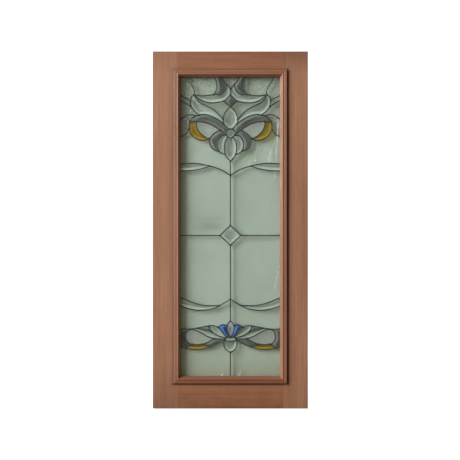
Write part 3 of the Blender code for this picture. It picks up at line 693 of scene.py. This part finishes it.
def spacesBetween(lines, half):
    # the outline of each space between the leads
    inset = cames["border"] + half - cames["width"] / 2
    field = rectangle(inset - panelHalf, panelFoot + inset, panelHalf - inset, panelTop - inset)
    shapes = [field] + [quad for line in lines for quad in stripQuads(line, half)]
    points, faces = [], []
    for shape in shapes:
        faces.append(list(range(len(points), len(points) + len(shape))))
        points += shape
    found = delaunay_2d_cdt(points, [], faces, 0, same)
    points, triangles = found[0], [t for t, owners in zip(found[2], found[5]) if set(owners) == {0}]
    bm = bmesh.new()
    verts = [bm.verts.new((p.x, p.y, 0)) for p in points]
    for triangle in triangles:
        bm.faces.new([verts[n] for n in triangle])
    bmesh.ops.dissolve_faces(bm, faces=bm.faces[:], use_verts=False)
    loops = [withoutNeedless([v.co.xy for v in face.verts]) for face in bm.faces]
    bm.free()
    return loops


def holds(loop, spot):
    inside = False
    for a, b in zip(loop, loop[1:] + loop[:1]):
        if (a.y > spot[1]) != (b.y > spot[1]):
            inside ^= spot[0] < a.x + (b.x - a.x) * (spot[1] - a.y) / (b.y - a.y)
    return inside


def onPanel(point, depth):
    return Vector((centreX + point.x, depth, point.y))


lines, ring = leadLines()
spaces = spacesBetween(lines + [ring], cames["width"] / 2)
print("  spaces", len(spaces))

print("Lead")
cameRound = [(0.5, 0.55), (0.8, 0.4), (0.8, 0.2)]  # how far in and how far up, three times
solderSizes = {
    "reach": (5.6, 0.9, 0.2),  # over a joint, its least share and how much that varies
    "upright": 0.92,
    "rise": 0.8,
    "sunk": 0.25,
    "apart": 4,
    "border": 1,  # nearer than this to the border there is none
}


def makeCames():
    bm = bmesh.new()
    border = rectangle(-panelHalf, panelFoot, panelHalf, panelTop)
    for loop in [border] + spaces:
        verts = [bm.verts.new(onPanel(p, cameMiddle)) for p in loop]
        for a, b in zip(verts, verts[1:] + verts[:1]):
            bm.edges.new((a, b))
    bmesh.ops.triangle_fill(bm, use_beauty=True, use_dissolve=False, edges=bm.edges[:])
    rise = sum(up for _, up in cameRound)
    straight = (cameBack - cameFront) / 2 - rise
    sheet = bm.faces[:]
    grown = bmesh.ops.extrude_face_region(bm, geom=sheet)["geom"]
    front = [g for g in grown if isinstance(g, bmesh.types.BMFace)]
    for faces, facing in ((front, -1), (sheet, 1)):
        verts = list({v for face in faces for v in face.verts})
        bmesh.ops.translate(bm, vec=(0, facing * straight, 0), verts=verts)
    bmesh.ops.recalc_face_normals(bm, faces=bm.faces)
    for faces in (front, sheet):
        for inward, up in cameRound:
            bmesh.ops.inset_region(bm, faces=faces, thickness=inward, depth=up, use_even_offset=False,
                                   use_boundary=True)
    addPiece("lead_net", bm, lead, "lead", "lead_cames", smooth=50)


makeCames()


def makeSolder():
    joints = []
    clear, apart = solderSizes["border"], solderSizes["apart"]
    for line in lines:
        for end in (line[0], line[-1]):
            if abs(end.x) < side - clear and foot + clear < end.y < top - clear:
                if all((end - other).length > apart for other in joints):
                    joints.append(end)
    bm = bmesh.new()
    reach, least, more = solderSizes["reach"]
    for n, joint in enumerate(joints):
        across = reach * (least + more * (n * 7 % 5) / 4)  # one of five sizes
        size = Matrix.Diagonal((across, solderSizes["rise"], across * solderSizes["upright"], 1))
        for depth in (cameFront, cameBack):
            sunk = math.copysign(solderSizes["sunk"], depth - cameMiddle)
            spot = Matrix.Translation(onPanel(joint, depth - sunk))
            bmesh.ops.create_icosphere(bm, subdivisions=3, radius=1, matrix=spot @ size)
    addPiece("solder_joints", bm, solder, "lead", smooth=60)


makeSolder()

print("Glass")
sideGlass = {
    "corner": ((265, 800), "rippled", "infill"),
    "top": ((150, 800), "rippled", "infill"),
    "side_leaf": ((270, 731), "rippled", "infill"),
    "under_leaf": ((250, 670), "rippled", "infill"),
    "side_eye": ((262, 575), "rippled", "infill"),
    "crescent": ((52, 790), "charcoal", "crescent_grey"),
    "lens": ((110, 732), "bevelled", "lens_bevelled"),
    "heart": ((85, 688), "smoky", "heart_clear"),
    "wing": ((150, 670), "bevelled", "wing_bevelled"),
    "band": ((130, 620), "grey", "band_and_petal_grey"),
    "grey_petal": ((92, 500), "grey", "band_and_petal_grey"),
    "hook": ((210, 560), "amber", "hook_amber"),
    "eye": ((130, 560), "stippled", "eye_clear"),
    "upper_field": ((200, 450), "clear", "upper_field"),
    "upper_leaf": ((250, 350), "bevelled", "upper_field"),
    "upper_large": ((150, 200), "clear", "upper_large"),
    "lower_large": ((150, -250), "clear", "lower_large"),
    "lower_leaf": ((200, -428), "bevelled", "lower_field"),
    "lower_field": ((150, -490), "clear", "lower_field"),
    "blue_petal": ((45, -547), "blue", "petal_blue"),
    "pale_petal": ((88, -556), "bevelled", "spray_clear"),
    "triangle": ((135, -544), "grey", "triangle_grey"),
    "thin_leaf": ((150, -562), "bevelled", "spray_clear"),
    "drop": ((190, -605), "frosted", "spray_clear"),
    "hollow": ((272, -610), "charcoal", "hollow_grey"),
    "inner": ((110, -630), "charcoal", "inner_grey"),
    "amber_lens": ((190, -650), "amber", "lens_amber"),
    "base": ((150, -750), "clear", "base_clear"),
    "clear_petal": ((52, 480), "bevelled", None),
}
centreGlass = {
    "top": ((0, 825), "rippled", "glass_top_clear"),
    "diamond": ((0, 722), "charcoal", "glass_diamond_grey"),
    "bud": ((0, 630), "bevelled", "glass_upper_bud_bevelled"),
    "jewel": (jewelCentre, "bevelled", "glass_jewel"),
    "middle_petal": ((0, 460), "bevelled", "glass_centre_petals"),
    "star": ((0, -30), "bevelled", "glass_star_bevelled"),
    "lower_bud": ((0, -548), "lavender", "glass_lower_bud"),
    "knot": ((0, -606), "bevelled", "glass_pendant"),
    "drop": ((0, -650), "bevelled", "glass_pendant"),
}
glassSizes = {
    "thickness": 4,
    "tuck": 0.15,  # clear of the came's heart
    "bevelWidth": 13,
    "rim": 1.4,  # bevelled glass: front of its rim and of its middle, from the panel's middle
    "crown": 3.1,
    "domeWidth": 16,  # of the jewel's bevel, which is rounded
    "step": 3,  # between points on a ground bevel
    "apart": (0.45, 0.4),  # shares of a step kept between two points, and under a ridge
    "halvings": 9,  # in the search for a ridge
    "ridge": (0.02, 1),  # how exact it is, and how deep the shallowest is
}


def glassSheet(loop):
    bm = bmesh.new()
    half = glassSizes["thickness"] / 2
    bm.faces.new([bm.verts.new(onPanel(p, cameMiddle - half)) for p in loop])
    grown = bmesh.ops.extrude_face_region(bm, geom=bm.faces[:])["geom"]
    moved = [v for v in grown if isinstance(v, bmesh.types.BMVert)]
    bmesh.ops.translate(bm, vec=(0, 2 * half, 0), verts=moved)
    bmesh.ops.triangulate(bm, faces=bm.faces[:])
    return bm


def distanceTo(point, loop):
    nearest = math.inf
    for a, b in zip(loop, loop[1:] + loop[:1]):
        span = b - a
        t = min(1, max(0, (point - a).dot(span) / span.length_squared))
        nearest = min(nearest, (point - a - span * t).length)
    return nearest


def ridgeReach(loop, start, inward, width):
    # how far in from a side its bevel goes: its width, or less where another side's bevel meets it
    low, high = 0, width * 2
    for _ in range(glassSizes["halvings"]):
        reach = (low + high) / 2
        spot = start + inward * reach
        if holds(loop, spot) and distanceTo(spot, loop) > reach - glassSizes["ridge"][0]:
            low = reach
        else:
            high = reach
    return min(low, width)


def bevelledSheet(loop, width, dome=False):
    # points along the ridges where two bevels meet, then rings of points between them and the outline
    step, shallowest = glassSizes["step"], glassSizes["ridge"][1]
    apart, under = glassSizes["apart"]
    if sum(a.cross(b) for a, b in zip(loop, loop[1:] + loop[:1])) < 0:
        loop = loop[::-1]
    rings = max(2, round(width / step))
    starts = []
    for a, b in zip(loop, loop[1:] + loop[:1]):
        span = b - a
        count = max(1, round(span.length / step))
        inward = Vector((-span.y, span.x)).normalized()
        for i in range(count):
            start = a + span * (i + 0.5) / count
            starts.append((start, inward, ridgeReach(loop, start, inward, width)))
    spots = [start + inward * deepest for start, inward, deepest in starts if deepest > shallowest]
    for start, inward, deepest in starts:
        spots += [start + inward * width * n / rings for n in range(1, rings)
                  if width * n / rings < deepest - step * under]
    inner = []
    for spot in spots:
        if all((spot - other).length > step * apart for other in inner):
            inner.append(spot)
    found = delaunay_2d_cdt(loop + inner, [], [list(range(len(loop)))], 1, same)
    bm = bmesh.new()
    rise = glassSizes["crown"] - glassSizes["rim"]
    verts = []
    for n, p in enumerate(found[0]):
        share = 0 if n < len(loop) else min(1, distanceTo(p, loop) / width)
        height = rise * (math.sqrt(1 - (1 - share) ** 2) if dome else share)
        verts.append(bm.verts.new(onPanel(p, cameMiddle - glassSizes["rim"] - height)))
    for triangle in found[2]:
        bm.faces.new([verts[n] for n in triangle])
    grown = bmesh.ops.extrude_face_region(bm, geom=bm.faces[:])["geom"]
    for v in grown:
        if isinstance(v, bmesh.types.BMVert):
            v.co.y = cameMiddle + glassSizes["thickness"] / 2
    return bm


def addGlass(name, loop, kind, node):
    look = glassKinds[kind]
    if name == "jewel_glass":
        bm = bevelledSheet(loop, glassSizes["domeWidth"], dome=True)
    elif "paintedFacets" in look:
        bm = bevelledSheet(loop, glassSizes["bevelWidth"])
    else:
        bm = glassSheet(loop)
    addPiece(name, bm, glassFinishes[kind], look["slot"], node, smooth=4)


glassLoops = spacesBetween(lines + [ring], cames["width"] / 2 + glassSizes["tuck"])
for name, (spot, kind, node) in centreGlass.items():
    loop = next(loop for loop in glassLoops if holds(loop, spot))
    addGlass(name + "_glass", loop, kind, node)
for name, (spot, kind, node) in sideGlass.items():
    for hand, sign in (("left", -1), ("right", 1)):
        loop = next(loop for loop in glassLoops if holds(loop, (sign * spot[0], spot[1])))
        stood = f"{hand}_glass_{node}" if node else "glass_centre_petals"
        addGlass(f"{hand}_{name}_glass", loop, kind, stood)

print("Stage")
doorMiddle = 0.43
stageLook = {
    "floor": -0.995,
    "reach": 60,
    "colour": (0.85, 0.85, 0.85, 1),
    "roughness": 0.9,
    "glow": (1, 1, 1, 1),
}


def makeStage():
    bm = bmesh.new()
    bmesh.ops.create_grid(bm, x_segments=1, y_segments=1, size=stageLook["reach"])
    bmesh.ops.translate(bm, vec=(doorMiddle, 0, stageLook["floor"]), verts=bm.verts)
    mesh = bpy.data.meshes.new("floor")
    bm.to_mesh(mesh)
    bm.free()
    f = Finish("paleFloor")
    inputs = {"Base Color": stageLook["colour"], "Roughness": stageLook["roughness"],
              "Emission Color": stageLook["glow"], "Emission Strength": 1.0}
    mesh.materials.append(f.surface(f.node("BsdfPrincipled", None, inputs)))
    floor = bpy.data.objects.new("floor", mesh)
    bpy.context.scene.collection.objects.link(floor)
    floor.visible_diffuse = False
    floor.visible_glossy = False


makeStage()

print("Light and camera")
lightLook = {
    "way": (-1.6, -1.0, 0.72),  # from the door to the lamp
    "distance": 12,
    "size": 7.4,
    "power": 2540,
    "fill": ((1, 0.78, 0.6, 1), 0.2),  # the room's light, colour and strength
    "backdrop": ((1, 1, 1, 1), 1.2),  # what the camera sees behind the door
}


def makeLight():
    way = Vector(lightLook["way"]).normalized()
    data = bpy.data.lights.new("window", "AREA")
    data.shape = "SQUARE"
    data.size = lightLook["size"]
    data.energy = lightLook["power"]
    lamp = bpy.data.objects.new("window", data)
    lamp.location = Vector((doorMiddle, 0, 0)) + way * lightLook["distance"]
    lamp.rotation_euler = (-way).to_track_quat("-Z", "Y").to_euler()
    bpy.context.scene.collection.objects.link(lamp)
    world = bpy.data.worlds.new("room")
    world.use_nodes = True
    tree = world.node_tree
    tree.nodes.clear()
    path = tree.nodes.new("ShaderNodeLightPath")
    both = tree.nodes.new("ShaderNodeMixShader")
    output = tree.nodes.new("ShaderNodeOutputWorld")
    tree.links.new(path.outputs["Is Camera Ray"], both.inputs[0])
    for place, part in ((1, "fill"), (2, "backdrop")):
        glow = tree.nodes.new("ShaderNodeBackground")
        glow.inputs["Color"].default_value, glow.inputs["Strength"].default_value = lightLook[part]
        tree.links.new(glow.outputs[0], both.inputs[place])
    tree.links.new(both.outputs[0], output.inputs[0])
    bpy.context.scene.world = world


makeLight()
bpy.context.scene.view_settings.view_transform = "Standard"

cameraLook = {"across": 0.428, "distance": 3.5406, "lens": 50}
cameraData = bpy.data.cameras.new("camera")
cameraData.lens = cameraLook["lens"]
camera = bpy.data.objects.new("camera", cameraData)
camera.location = (cameraLook["across"], leafFront * mm - cameraLook["distance"], 0)
camera.rotation_euler = (math.radians(90), 0, 0)
bpy.context.scene.collection.objects.link(camera)
bpy.context.scene.camera = camera
